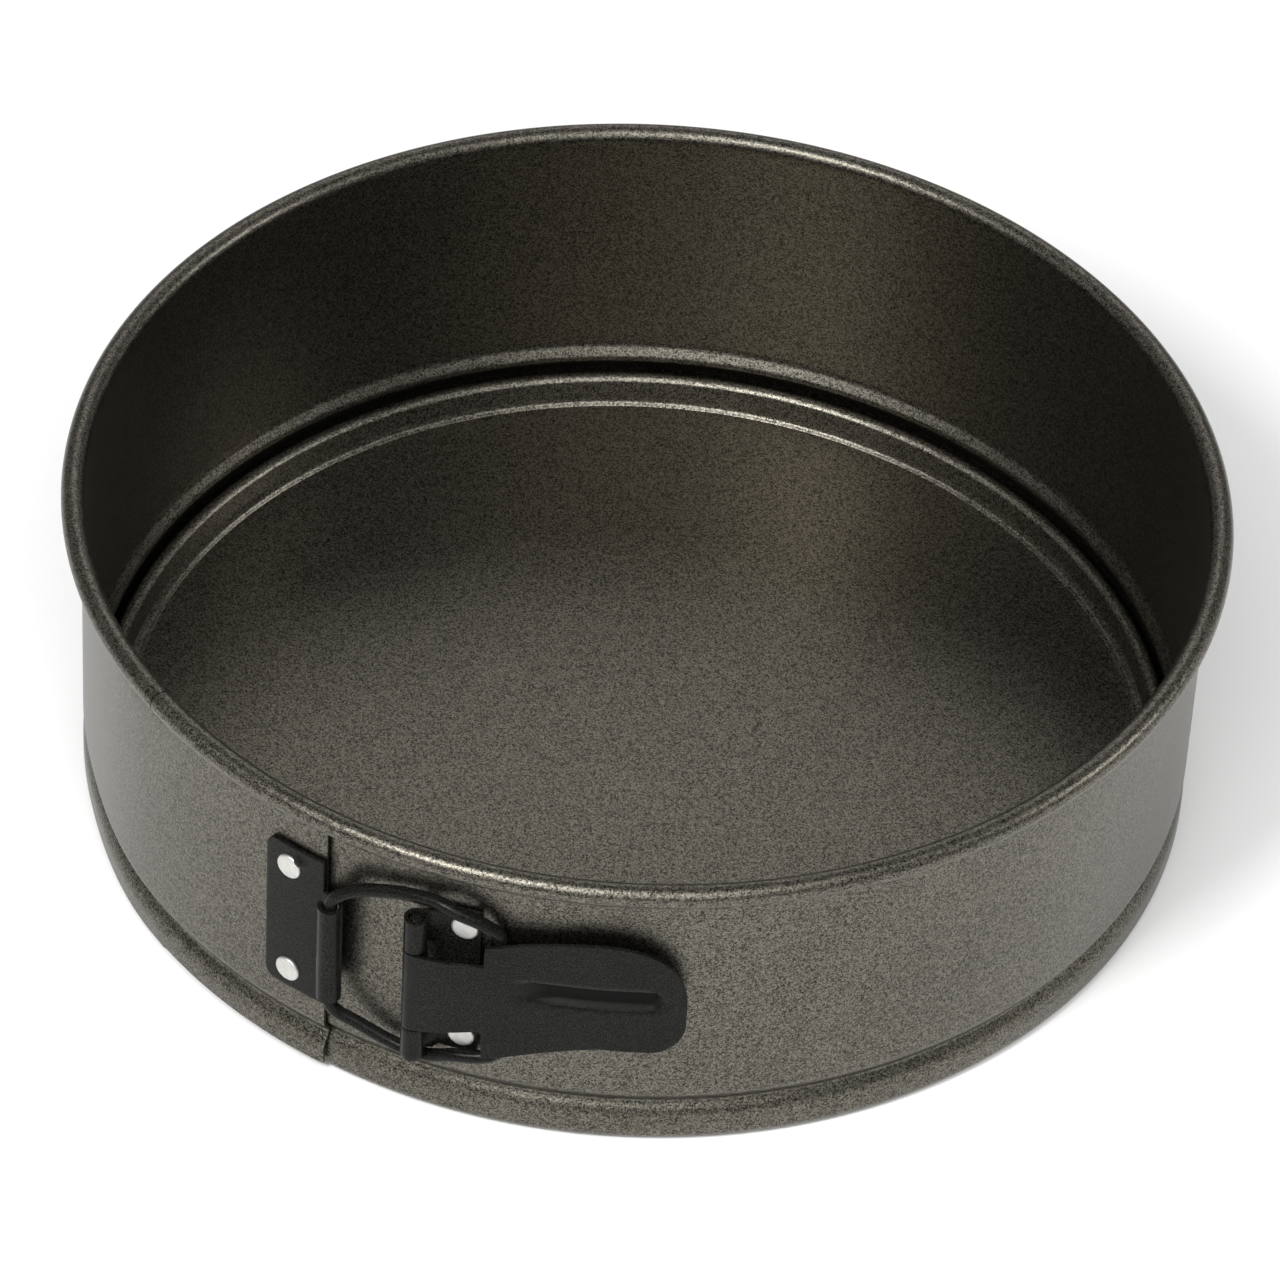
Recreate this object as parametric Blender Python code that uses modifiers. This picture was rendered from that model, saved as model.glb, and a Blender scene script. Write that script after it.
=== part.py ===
"""Springform cake pan: an elastic side band, a drop-in base plate and a toggle latch.

The ring's axis is Z, the table is z = 0 and the latch's hinge pin faces -Y.  Bearings on the ring
are degrees measured from the hinge pin, positive towards the tip of the lever (+X).
"""
import math

import bmesh
import bpy
from mathutils import Vector

MM = 0.001
GAP = 0.3 * MM                      # clearance between neighbouring pieces

# Sheet metal
BAND_SHEET = 0.6 * MM
LATCH_SHEET = 0.8 * MM

# Side band
WALL_R = 115.3 * MM                 # middle of the wall's sheet
ROLL_R = 2.1 * MM                   # rolled rim, middle of the sheet
ROLL_CENTRE = (WALL_R + 2.0 * MM, 70.0 * MM)
BEAD_R = 113.1 * MM                 # deepest point of the inward bead
BEAD_Z = 9.8 * MM
BEAD_FOOT_Z = 7.1 * MM
BEAD_HEAD_Z = 13.4 * MM
SKIRT_TURN_R = 2.2 * MM             # round at the foot of the skirt
LIP_R = 109.6 * MM                  # inner edge of the lip that carries the base
LIP_Z = 1.7 * MM
TONGUE_TOP_Z = 67.1 * MM            # the outer end of the band stays under the rim
LAP = 1.2 * MM                      # how far the outer end stands off the inner one
BACK = 180.0                        # bearing where the two halves of the band meet
HALF_GAP = 0.08                     # degrees
ROLL_END = -33.5                    # the two rolled rims meet at this bearing
BAND_END = -10.5                    # free edge of the outer end
LAP_START = -56.0
STEP_DEG = 6.0

# Base plate
FLOOR_Z = 1.7 * MM
FLANGE_Z = 2.6 * MM
FLOOR_R = 106.6 * MM
FLANGE_R = 107.4 * MM
PLATE_RIM_R = 111.0 * MM
PLATE_TOP_Z = 7.1 * MM
PLATE_EDGE_R = 112.0 * MM
PLATE_STEPS = 60

# Latch
PIN_R = 1.3 * MM
PIN_AT = 120.2 * MM                 # distance from the ring's axis
LEVER_CURL = 2.05 * MM              # middle of the sheet that wraps the pin
HOOK_CURL = 2.15 * MM
HOOK_AT = 120.2 * MM
HOOK_BEARING = -9.0
WIRE_R = 1.4 * MM
WIRE_AT = 117.5 * MM                # leg of the bail behind the lever
WIRE_BEARING = 8.0
CURL_STEPS = 9

HOOK_PLATE = (-17.3, 20.3 * MM, 58.8 * MM)       # left bearing, bottom, top
HOOK_TAB = (26.3 * MM, 51.0 * MM)
BRACKET_TABS = ((19.3 * MM, 27.6 * MM), (48.9 * MM, 57.0 * MM))
BRACKET_PLATE = (5.9, 20.3 * MM, 58.6 * MM)      # right bearing, bottom, top
NECK = (28.0 * MM, 48.4 * MM)
NECK_RISE = 2.8 * MM                # the neck's lower edge climbs towards the leaf
LEAF_AT = 118.5 * MM                # middle of the leaf's sheet
LEAF_START = 6.8                    # bearing of the leaf's inner edge
LEAF_SETTLES = 13.0                 # bearing where the leaf reaches LEAF_AT
EAR_BEARING = 6.9

RIVET_HEAD_R = 2.8 * MM
RIVET_HEAD_H = 0.7 * MM
RIVET_SHANK_R = 1.5 * MM
HOOK_RIVETS = (-14.5, {"upper": 53.5 * MM, "lower": 25.2 * MM})
BRACKET_RIVETS = (4.3, {"upper": 54.2 * MM, "lower": 24.7 * MM})

BLACK_ENAMEL = ("latch_enamel", (0.012, 0.012, 0.013, 1.0), 0.38, 0.0)
BAND_COATING = ("nonstick_band", (0.105, 0.097, 0.086, 1.0), 0.42, 0.85)
BASE_COATING = ("nonstick_base", (0.100, 0.093, 0.083, 1.0), 0.45, 0.85)
RIVET_METAL = ("rivet_aluminium", (0.80, 0.80, 0.79, 1.0), 0.35, 1.0)


# ---------------------------------------------------------------- helpers

def collection(name):
    made = bpy.data.collections.new(name)
    bpy.context.scene.collection.children.link(made)
    return made


def material(spec):
    name, colour, roughness, metallic = spec
    if name in bpy.data.materials:
        return bpy.data.materials[name]
    made = bpy.data.materials.new(name)
    made.use_nodes = True
    shader = made.node_tree.nodes["Principled BSDF"]
    shader.inputs["Base Color"].default_value = colour
    shader.inputs["Roughness"].default_value = roughness
    shader.inputs["Metallic"].default_value = metallic
    return made


def add_object(name, bm, spec, group, sharp_angle=35.0):
    mesh = bpy.data.meshes.new(name)
    bm.to_mesh(mesh)
    bm.free()
    made = bpy.data.objects.new(name, mesh)
    group.objects.link(made)
    mesh.materials.append(material(spec))
    mesh.shade_smooth()
    mesh.set_sharp_from_angle(angle=math.radians(sharp_angle))
    return made


def thicken(made, thickness):
    solid = made.modifiers.new("Sheet", 'SOLIDIFY')
    solid.thickness = thickness
    solid.offset = 0.0
    solid.use_even_offset = True


def spot(radius, bearing, z=0.0):
    """A point at a distance from the ring's axis, on a bearing from the hinge pin."""
    turn = math.radians(bearing)
    return Vector((radius * math.sin(turn), -radius * math.cos(turn), z))


def arc(centre, radius, start, end, steps):
    """Points on an arc in the profile's plane, angles in degrees."""
    turns = [math.radians(start + (end - start) * k / steps) for k in range(steps + 1)]
    return [(centre[0] + radius * math.cos(t), centre[1] + radius * math.sin(t)) for t in turns]


def smoothstep(value):
    value = min(max(value, 0.0), 1.0)
    return value * value * (3.0 - 2.0 * value)


def cutter(name, radius, centre, bearing, length, group):
    """A radial cylinder that drills a rivet hole."""
    bm = bmesh.new()
    bmesh.ops.create_cone(bm, cap_ends=True, segments=12, radius1=radius, radius2=radius, depth=length)
    made = add_object(name, bm, RIVET_METAL, group)
    made.location = centre
    made.rotation_euler = (math.pi / 2, 0.0, math.radians(bearing))
    made.hide_render = True
    made.display_type = 'WIRE'
    return made


def drill(made, tool):
    cut = made.modifiers.new(tool.name, 'BOOLEAN')
    cut.operation = 'DIFFERENCE'
    cut.solver = 'EXACT'
    cut.object = tool


# ---------------------------------------------------------------- band and base

def skirt_profile():
    """Lip, foot and skirt, up to where the bead starts."""
    foot = (WALL_R - SKIRT_TURN_R, SKIRT_TURN_R + BAND_SHEET / 2)
    return [(LIP_R, LIP_Z)] + arc(foot, SKIRT_TURN_R, -90.0, 0.0, 3)


def wall_profile():
    """Skirt top, inward bead and the straight wall up to the tongue's height."""
    bead = [(WALL_R, BEAD_FOOT_Z - 0.5 * MM), (WALL_R - 0.5 * MM, BEAD_FOOT_Z + 0.6 * MM),
            (BEAD_R + 0.3 * MM, BEAD_Z - 0.8 * MM), (BEAD_R, BEAD_Z + 0.2 * MM),
            (BEAD_R + 0.4 * MM, BEAD_Z + 1.2 * MM), (WALL_R, BEAD_HEAD_Z)]
    return bead + [(WALL_R, TONGUE_TOP_Z)]


def roll_profile():
    return arc(ROLL_CENTRE, ROLL_R, 180.0, -112.0, 9)


def profile_edges(bm, points, bearing):
    verts = [bm.verts.new(spot(radius, bearing, z)) for radius, z in points]
    return verts, [bm.edges.new(pair) for pair in zip(verts, verts[1:])]


def sweep(bm, geom, degrees):
    steps = max(1, round(degrees / STEP_DEG))
    swept = bmesh.ops.spin(bm, geom=geom, cent=(0, 0, 0), axis=(0, 0, 1),
                           angle=math.radians(degrees), steps=steps, use_merge=False)
    return swept["geom_last"]


def band_mesh(start, end, tongue_end=None):
    """A length of the band, with an optional tongue without rim and lip past its end."""
    bm = bmesh.new()
    points = skirt_profile() + wall_profile() + roll_profile()
    verts, edges = profile_edges(bm, points, start)
    last = sweep(bm, verts + edges, end - start)
    if tongue_end is not None:
        low, high = SKIRT_TURN_R, TONGUE_TOP_Z + 0.1 * MM
        keep = [e for e in last if isinstance(e, bmesh.types.BMEdge)
                and all(low < v.co.z < high and v.co.xy.length > BEAD_R - MM for v in e.verts)]
        keep_verts = list({v for e in keep for v in e.verts})
        sweep(bm, keep_verts + keep, tongue_end - end)
    bmesh.ops.recalc_face_normals(bm, faces=bm.faces)
    return bm


def stand_off(bm):
    """Ease the outer end of the band outwards, so that it laps over the inner end."""
    for vert in bm.verts:
        bearing = math.degrees(math.atan2(vert.co.x, -vert.co.y))
        if bearing > 0.0:
            bearing -= 360.0
        share = smoothstep((bearing - LAP_START) / (ROLL_END - 3.0 - LAP_START))
        radius = vert.co.xy.length
        vert.co.xy *= (radius + LAP * share) / radius


def side_band_right(group):
    made = add_object("side_band_right", band_mesh(ROLL_END + 0.2, BACK - HALF_GAP), BAND_COATING, group)
    thicken(made, BAND_SHEET)
    return made


def side_band_left(group):
    bm = band_mesh(BACK - 360.0 + HALF_GAP, ROLL_END - 0.2, BAND_END)
    stand_off(bm)
    made = add_object("side_band_left", bm, BAND_COATING, group)
    thicken(made, BAND_SHEET)
    return made


def base_plate(group):
    """The turned plate, its profile running from the rim's edge down and in to the centre."""
    outline = [(PLATE_EDGE_R, PLATE_TOP_Z - 0.3 * MM), (PLATE_RIM_R + 0.5 * MM, PLATE_TOP_Z),
               (PLATE_RIM_R, PLATE_TOP_Z - 0.4 * MM), (PLATE_RIM_R, FLANGE_Z + 0.5 * MM),
               (PLATE_RIM_R - 0.5 * MM, FLANGE_Z), (FLANGE_R, FLANGE_Z), (FLOOR_R, FLOOR_Z), (0.0, FLOOR_Z)]
    bm = bmesh.new()
    profile_edges(bm, outline, 90.0)
    made = add_object("base_plate", bm, BASE_COATING, group)
    turn = made.modifiers.new("Turn", 'SCREW')
    turn.axis = 'Z'
    turn.steps = PLATE_STEPS
    turn.render_steps = PLATE_STEPS
    turn.use_merge_vertices = True
    turn.merge_threshold = 0.00001
    turn.use_smooth_shade = True
    thicken(made, BAND_SHEET)
    return made


# ---------------------------------------------------------------- bent sheet pieces

def curl_path(centre_r, bearing, radius, start, sweep_deg):
    """Plan points of a curl round a vertical axis; angles run from outwards (0), towards +X (90)."""
    centre = spot(centre_r, bearing)
    out = spot(1.0, bearing)
    side = Vector((-out.y, out.x, 0.0))
    points = []
    for k in range(CURL_STEPS + 1):
        turn = math.radians(start + sweep_deg * k / CURL_STEPS)
        points.append(centre + radius * (math.cos(turn) * out + math.sin(turn) * side))
    return points


def plan_lengths(path):
    """Distance along the bent sheet at each plan point."""
    lengths = [0.0]
    for a, b in zip(path, path[1:]):
        lengths.append(lengths[-1] + (b - a).length)
    return lengths


def bent_sheet(name, path, outline, group):
    """Cut a flat blank, crease it at every plan point and bend it along the plan path."""
    lengths = plan_lengths(path)
    bm = bmesh.new()
    bm.faces.new([bm.verts.new((s, 0.0, z)) for s, z in outline])
    for s in lengths[1:-1]:
        everything = bm.verts[:] + bm.edges[:] + bm.faces[:]
        bmesh.ops.bisect_plane(bm, geom=everything, dist=0.00001, plane_co=(s, 0, 0), plane_no=(1, 0, 0))
    for vert in bm.verts:
        vert.co = bend(vert.co, path, lengths)
    bmesh.ops.recalc_face_normals(bm, faces=bm.faces)
    made = add_object(name, bm, BLACK_ENAMEL, group)
    thicken(made, LATCH_SHEET)
    return made


def bend(point, path, lengths):
    last = len(lengths) - 2
    leg = min(last, max(k for k in range(last + 1) if lengths[k] <= point.x + 0.00001 or k == 0))
    share = (point.x - lengths[leg]) / (lengths[leg + 1] - lengths[leg])
    bent = path[leg].lerp(path[leg + 1], share)
    bent.z = point.z
    return bent


def round_corner(centre, radius, start):
    return arc(centre, radius, start, start - 90.0, 3)


def hook_plate(group):
    left, low, high = HOOK_PLATE
    plate_r = WALL_R + LAP + BAND_SHEET / 2 + GAP + LATCH_SHEET / 2
    steps = 3
    plate = [spot(plate_r, left + (BAND_END - left) * k / steps) for k in range(steps + 1)]
    path = plate + curl_path(HOOK_AT, HOOK_BEARING, HOOK_CURL, 180.0, -275.0)
    lengths = plan_lengths(path)
    edge = lengths[steps]
    corner = 2.2 * MM
    outline = [(edge, low), (edge, HOOK_TAB[0]), (lengths[-1], HOOK_TAB[0]), (lengths[-1], HOOK_TAB[1]),
               (edge, HOOK_TAB[1]), (edge, high)]
    outline += [(p[0], p[1]) for p in reversed(round_corner((corner, high - corner), corner, 180.0))]
    outline += [(p[0], p[1]) for p in reversed(round_corner((corner, low + corner), corner, 270.0))]
    return bent_sheet("hook_plate", path, outline, group)


def lever_bracket(group):
    right, low, high = BRACKET_PLATE
    plate_r = WALL_R + BAND_SHEET / 2 + GAP + LATCH_SHEET / 2
    plate_left = 1.9
    steps = 2
    plate = [spot(plate_r, right + (plate_left - right) * k / steps) for k in range(steps + 1)]
    path = plate + curl_path(PIN_AT, 0.0, LEVER_CURL, 180.0, 275.0)
    lengths = plan_lengths(path)
    edge, end = lengths[steps], lengths[-1]
    (low_a, low_b), (high_a, high_b) = BRACKET_TABS
    outline = [(0.0, low), (edge, low), (edge + 1.2 * MM, low_a), (end, low_a), (end, low_b), (edge, low_b),
               (edge, high_a), (end, high_a), (end, high_b), (edge + 1.2 * MM, high_b), (edge, high),
               (0.0, high)]
    return bent_sheet("lever_bracket", path, outline, group)


def leaf_radius(bearing):
    """The leaf drops from the front of the pin to its place close to the band."""
    drop = PIN_AT + LEVER_CURL - LEAF_AT
    return LEAF_AT + drop * (1.0 - smoothstep(bearing / LEAF_SETTLES))


def leaf_outline():
    """Right half of the lever's outline as (bearing, height): top edge, round tip, bottom edge."""
    points = [(LEAF_START, 53.6 * MM), (10.0, 54.8 * MM), (13.0, 55.8 * MM)]
    for k in range(7):
        turn = math.radians(90.0 - 15.0 * k)
        across, rise = abs(math.cos(turn)) ** 0.86, abs(math.sin(turn)) ** 0.86
        points.append((17.5 + 8.5 * across, (41.0 + 15.8 * rise) * MM))
    for k in range(1, 5):
        turn = math.radians(-22.5 * k)
        points.append((22.7 + 3.3 * math.cos(turn), (36.6 + 8.0 * math.sin(turn)) * MM))
    return points + [(18.0, 28.9 * MM), (14.3, 27.3 * MM), (10.5, 24.9 * MM), (LEAF_START, 23.2 * MM)]


def lever(group):
    """Neck wrapped round the pin, then a broad leaf that follows the band to a round tip."""
    curl = curl_path(PIN_AT, 0.0, LEVER_CURL, 95.0, 265.0)
    bearings = [2.0, 4.0] + [LEAF_START + 2.4 * k for k in range(9)]
    path = curl + [spot(leaf_radius(b), b) for b in bearings]
    lengths = plan_lengths(path)
    marks = [0.0] + bearings
    front = len(curl) - 1

    def developed(bearing):
        leg = max(k for k in range(len(marks) - 1) if marks[k] <= bearing)
        share = (bearing - marks[leg]) / (marks[leg + 1] - marks[leg])
        return lengths[front + leg] + share * (lengths[front + leg + 1] - lengths[front + leg])

    step = developed(LEAF_START)
    outline = [(0.0, NECK[0]), (0.0, NECK[1]), (step, NECK[1])]
    outline += [(developed(bearing), z) for bearing, z in leaf_outline()]
    outline += [(step, NECK[0] + NECK_RISE), (lengths[front], NECK[0])]
    made = bent_sheet("lever", path, outline, group)
    return made


def lever_ears(made, group):
    """The leaf's inner corners are turned in towards the band to hold the bail's leg."""
    for name, low, high in (("upper", NECK[1] + 0.6 * MM, 52.2 * MM), ("lower", 25.0 * MM, 30.2 * MM)):
        reach = (116.4 * MM, leaf_radius(EAR_BEARING) - 0.05 * MM)
        bm = bmesh.new()
        bmesh.ops.create_cube(bm, size=1.0)
        bmesh.ops.scale(bm, vec=(LATCH_SHEET, reach[1] - reach[0], high - low), verts=bm.verts)
        ear = add_object("ear_" + name, bm, BLACK_ENAMEL, group)
        ear.location = spot(sum(reach) / 2, EAR_BEARING, (low + high) / 2)
        ear.rotation_euler.z = math.radians(EAR_BEARING)
        ear.hide_render = True
        ear.display_type = 'WIRE'
        join = made.modifiers.new(ear.name, 'BOOLEAN')
        join.operation = 'UNION'
        join.solver = 'EXACT'
        join.object = ear


def hinge_pin(group):
    low, high = BRACKET_TABS[0][0] + 0.2 * MM, BRACKET_TABS[1][1] - 0.2 * MM
    bm = bmesh.new()
    bmesh.ops.create_cone(bm, cap_ends=True, segments=12, radius1=PIN_R, radius2=PIN_R, depth=high - low)
    made = add_object("hinge_pin", bm, BLACK_ENAMEL, group)
    made.location = spot(PIN_AT, 0.0, (low + high) / 2)
    return made


def bail_route():
    """Points of the wire: over the bracket, down behind the lever and back under the bracket."""
    hook_gap = GAP + 0.1 * MM
    upper = [(HOOK_BEARING, HOOK_AT, HOOK_TAB[1] + hook_gap), (-8.8, 120.2 * MM, 53.0 * MM),
             (-8.0, 119.7 * MM, 54.9 * MM), (-6.4, 118.7 * MM, 56.8 * MM), (-4.2, 118.0 * MM, 58.1 * MM),
             (-1.8, 117.8 * MM, 59.6 * MM), (1.0, 118.0 * MM, 60.4 * MM), (2.6, 118.6 * MM, 60.3 * MM),
             (4.2, 118.9 * MM, 59.5 * MM), (5.8, 118.4 * MM, 58.2 * MM), (7.0, 118.0 * MM, 56.6 * MM),
             (7.8, 117.6 * MM, 55.0 * MM), (WIRE_BEARING, WIRE_AT, 53.2 * MM)]
    lower = [(WIRE_BEARING, WIRE_AT, 23.6 * MM), (7.8, 117.6 * MM, 22.3 * MM), (7.0, 118.0 * MM, 21.4 * MM),
             (5.6, 118.4 * MM, 20.8 * MM), (3.8, 118.5 * MM, 20.1 * MM), (2.4, 118.2 * MM, 18.7 * MM),
             (0.8, 117.9 * MM, 17.5 * MM), (-1.8, 117.8 * MM, 17.5 * MM), (-4.2, 118.0 * MM, 18.7 * MM),
             (-6.2, 118.7 * MM, 20.5 * MM), (-8.0, 119.7 * MM, 22.3 * MM), (-8.8, 120.2 * MM, 24.1 * MM),
             (HOOK_BEARING, HOOK_AT, HOOK_TAB[0] - hook_gap)]
    return [spot(radius, bearing, z) for bearing, radius, z in upper + lower]


def bail_wire(group):
    curve = bpy.data.curves.new("bail_wire", 'CURVE')
    curve.dimensions = '3D'
    curve.bevel_depth = WIRE_R
    curve.bevel_resolution = 2
    curve.use_fill_caps = True
    route = bail_route()
    spline = curve.splines.new('POLY')
    spline.points.add(len(route) - 1)
    for point, place in zip(spline.points, route):
        point.co = (*place, 1.0)
    curve.materials.append(material(BLACK_ENAMEL))
    made = bpy.data.objects.new("bail_wire", curve)
    group.objects.link(made)
    return made


def rivet(name, bearing, z, seat_r, tail_r, headed_tail, group):
    """Turned about its own axis, its head outside the plate and its tail inside the band."""
    reach = seat_r - tail_r
    outline = [(0.0, RIVET_HEAD_H), (RIVET_HEAD_R * 0.75, RIVET_HEAD_H), (RIVET_HEAD_R, RIVET_HEAD_H * 0.45),
               (RIVET_HEAD_R, 0.0), (RIVET_SHANK_R, 0.0), (RIVET_SHANK_R, -reach)]
    if headed_tail:
        tail_r, tail = RIVET_HEAD_R * 0.8, -reach - 0.4 * MM
        outline += [(tail_r, -reach), (tail_r, tail), (0.0, tail)]
    else:
        outline += [(0.0, -reach)]
    bm = bmesh.new()
    verts = [bm.verts.new((radius, 0.0, height)) for radius, height in outline]
    for pair in zip(verts, verts[1:]):
        bm.edges.new(pair)
    made = add_object(name, bm, RIVET_METAL, group)
    made.location = spot(seat_r, bearing, z)
    made.rotation_euler = (math.pi / 2, 0.0, math.radians(bearing))
    turn = made.modifiers.new("Turn", 'SCREW')
    turn.axis = 'Z'
    turn.steps = 12
    turn.render_steps = 12
    turn.use_merge_vertices = True
    turn.merge_threshold = 0.00001
    turn.use_smooth_shade = True
    return made


# ---------------------------------------------------------------- assembly

def build():
    for old in list(bpy.data.objects):
        bpy.data.objects.remove(old, do_unlink=True)
    pan = collection("springform_pan")
    tools = collection("cutters")

    right = side_band_right(pan)
    left = side_band_left(pan)
    base_plate(pan)
    hook = hook_plate(pan)
    bracket = lever_bracket(pan)
    arm = lever(pan)
    lever_ears(arm, tools)
    hinge_pin(pan)
    bail_wire(pan)

    hook_seat = WALL_R + LAP + BAND_SHEET / 2 + LATCH_SHEET + 2 * GAP
    bracket_seat = WALL_R + BAND_SHEET / 2 + LATCH_SHEET + 2 * GAP
    for place, z in HOOK_RIVETS[1].items():
        rivet("hook_rivet_" + place, HOOK_RIVETS[0], z, hook_seat, WALL_R + LAP - BAND_SHEET / 2, False, pan)
        centre = spot(hook_seat, HOOK_RIVETS[0], z)
        tool = cutter("hook_hole_" + place, RIVET_SHANK_R + GAP, centre, HOOK_RIVETS[0], 5.0 * MM, tools)
        # the hole runs through the plate and the outer end of the band, and stops before the inner end
        drill(hook, tool)
        drill(left, tool)
    for place, z in BRACKET_RIVETS[1].items():
        tail = WALL_R - BAND_SHEET / 2 - GAP
        rivet("bracket_rivet_" + place, BRACKET_RIVETS[0], z, bracket_seat, tail, True, pan)
        centre = spot(bracket_seat, BRACKET_RIVETS[0], z)
        tool = cutter("bracket_hole_" + place, RIVET_SHANK_R + GAP, centre, BRACKET_RIVETS[0], 6.0 * MM,
                      tools)
        drill(bracket, tool)
        drill(right, tool)


build()
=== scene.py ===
"""Springform cake pan: fine surfaces and finishes for a side band, base plate and toggle latch.

The ring's axis is Z and the table is z = 0.  Bearings are degrees round the ring, counted from the
hinge pin of the latch (-Y) and positive towards the tip of the lever (+X).
"""
import math

import bmesh
import bpy
from mathutils import Matrix, Vector


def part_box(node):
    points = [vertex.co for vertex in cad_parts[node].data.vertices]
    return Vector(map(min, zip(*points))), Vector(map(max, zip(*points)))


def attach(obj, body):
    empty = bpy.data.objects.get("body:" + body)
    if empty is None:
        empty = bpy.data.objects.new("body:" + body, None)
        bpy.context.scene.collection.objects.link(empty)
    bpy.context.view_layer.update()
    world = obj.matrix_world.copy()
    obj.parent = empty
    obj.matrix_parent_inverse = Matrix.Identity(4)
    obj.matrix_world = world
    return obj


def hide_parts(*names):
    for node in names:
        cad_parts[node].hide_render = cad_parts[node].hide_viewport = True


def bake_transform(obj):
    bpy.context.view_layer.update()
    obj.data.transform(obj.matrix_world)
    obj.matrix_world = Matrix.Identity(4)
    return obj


bl_info = {
    "name": "Springform pan",
    "version": (1, 0, 0),
    "blender": (4, 5, 0),
    "location": "View3D > Sidebar > Springform pan",
    "description": "Builds the fine surfaces of a springform cake pan round its working model",
    "category": "Object",
}

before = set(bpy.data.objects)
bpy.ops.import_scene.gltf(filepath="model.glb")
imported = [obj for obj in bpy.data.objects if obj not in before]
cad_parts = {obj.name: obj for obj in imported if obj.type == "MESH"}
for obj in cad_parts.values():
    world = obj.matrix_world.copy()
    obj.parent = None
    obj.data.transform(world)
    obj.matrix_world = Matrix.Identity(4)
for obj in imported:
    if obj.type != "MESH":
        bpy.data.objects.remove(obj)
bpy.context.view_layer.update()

MM = 0.001
RIM_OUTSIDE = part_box("side_band_right")[1].x
RIM_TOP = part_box("side_band_right")[1].z
BRACKET_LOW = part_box("lever_bracket")[0].z
BRACKET_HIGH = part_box("lever_bracket")[1].z
HOOK_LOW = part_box("hook_plate")[0].z
HOOK_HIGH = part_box("hook_plate")[1].z


# ---------------------------------------------------------------- settings

def length(name, description, default):
    return bpy.props.FloatProperty(name=name, description=description, default=default, unit='LENGTH',
                                   precision=5, min=0.0)


def colour(name, description, default):
    return bpy.props.FloatVectorProperty(name=name, description=description, default=default,
                                         subtype='COLOR', size=3, min=0.0, max=1.0)


class BandSizes(bpy.types.PropertyGroup):
    """Sizes of the rolled side band and of the base plate inside it."""
    sheet: length("Sheet", "Thickness of the band's and base's steel sheet", 0.6 * MM)
    roll: length("Rim roll", "Radius of the rolled rim, to the middle of its sheet", 2.1 * MM)
    bead: length("Bead depth", "How far the inward bead stands in from the wall", 2.2 * MM)
    bead_height: length("Bead height", "Height of the deepest point of the bead", 9.9 * MM)
    lap: length("Lap", "How far the outer end of the band stands off the inner end", 1.2 * MM)
    base_edge: length("Base edge", "Radius of the base plate's outer edge", 112.0 * MM)
    floor_height: length("Floor height", "Height of the middle of the base plate's sheet", 1.7 * MM)


class LatchSizes(bpy.types.PropertyGroup):
    """Sizes of the latch's bent sheets, wire and rivets."""
    sheet: length("Sheet", "Thickness of the latch's sheet", 0.8 * MM)
    curl: length("Curl", "Radius of the sheet wrapped round the hinge pin", 2.05 * MM)
    wire: length("Wire", "Radius of the bail wire", 1.4 * MM)
    pin: length("Pin", "Radius of the hinge pin", 1.3 * MM)
    rivet: length("Rivet head", "Radius of a rivet's head", 2.8 * MM)
    groove: length("Groove", "Depth of the groove pressed into the lever", 1.6 * MM)


class Finishes(bpy.types.PropertyGroup):
    """Colours of the coatings and metals."""
    coating_dark: colour("Coating", "Dark grains of the non-stick coating", (0.022, 0.0205, 0.0165))
    coating_light: colour("Flakes", "Metal flakes in the non-stick coating", (0.285, 0.266, 0.222))
    enamel: colour("Enamel", "Black enamel of the latch", (0.003, 0.003, 0.0026))
    rivet: colour("Rivets", "Bare aluminium of the rivets", (0.66, 0.65, 0.62))


class StageSettings(bpy.types.PropertyGroup):
    """Camera, floor and lights."""
    bearing: bpy.props.FloatProperty(name="Bearing", description="Side that the camera stands on",
                                     default=math.radians(19.5), subtype='ANGLE')
    elevation: bpy.props.FloatProperty(name="Elevation", description="How far the camera looks down",
                                       default=math.radians(43.207), subtype='ANGLE')
    roll: bpy.props.FloatProperty(name="Roll", description="Tilt of the camera's horizon",
                                  default=math.radians(-3.38), subtype='ANGLE')
    distance: length("Distance", "From the camera to the point that it looks at", 1.5575)
    pitch: bpy.props.FloatProperty(name="Pitch", default=0.014, subtype='ANGLE',
                                   description="How far the camera tips up from the ring's axis")
    lens: bpy.props.FloatProperty(name="Lens", description="Focal length in millimetres", default=208.1)
    floor: colour("Floor", "Colour of the pale floor", (0.96, 0.96, 0.96))


# ---------------------------------------------------------------- shapes

BACK_JOIN = 121.0                   # bearing where the bending half of the band meets the rigid one
ROLL_END = -33.5                    # the two rolled rims meet at this bearing
BAND_END = -10.5                    # free edge of the band's outer end
RIM_GAP = 0.06                      # each rolled rim stops this many degrees short of ROLL_END
LAP_START = -56.0                   # the outer end starts to stand off here
LAP_FULL = ROLL_END - 3.0           # and has its whole stand-off here
TONGUE_TOP = 67.1 * MM              # top of the end that runs on past the rolled rim
TONGUE_INSIDE = 112.0 * MM          # everything of the profile inside this radius stops at ROLL_END
RIM_FLUSH = 1.4 * MM                # height over which the stand-off fades, so that the rims meet flush
ROLL_STAND = 2.0 * MM               # middle of the rolled rim, out from the wall
LIP = (109.6 * MM, 1.7 * MM)
SKIRT_TURN = 2.2 * MM
SKIRT_TOP = 5.0 * MM
BEAD_FOOT = 7.1 * MM                # the bead leaves the skirt here
BEAD_HEAD = 13.0 * MM               # and meets the wall here
BEAD_EASE = (1.7 * MM, 1.1 * MM, 1.2 * MM)          # reach of the bends at its foot, bottom and head
WALL_START = BEAD_HEAD + 2.0 * MM
WALL_PARTS = 8
HOOK_AT = 120.2 * MM
HOOK_BEARING = -9.0
HOOK_LEFT = -17.3
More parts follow.
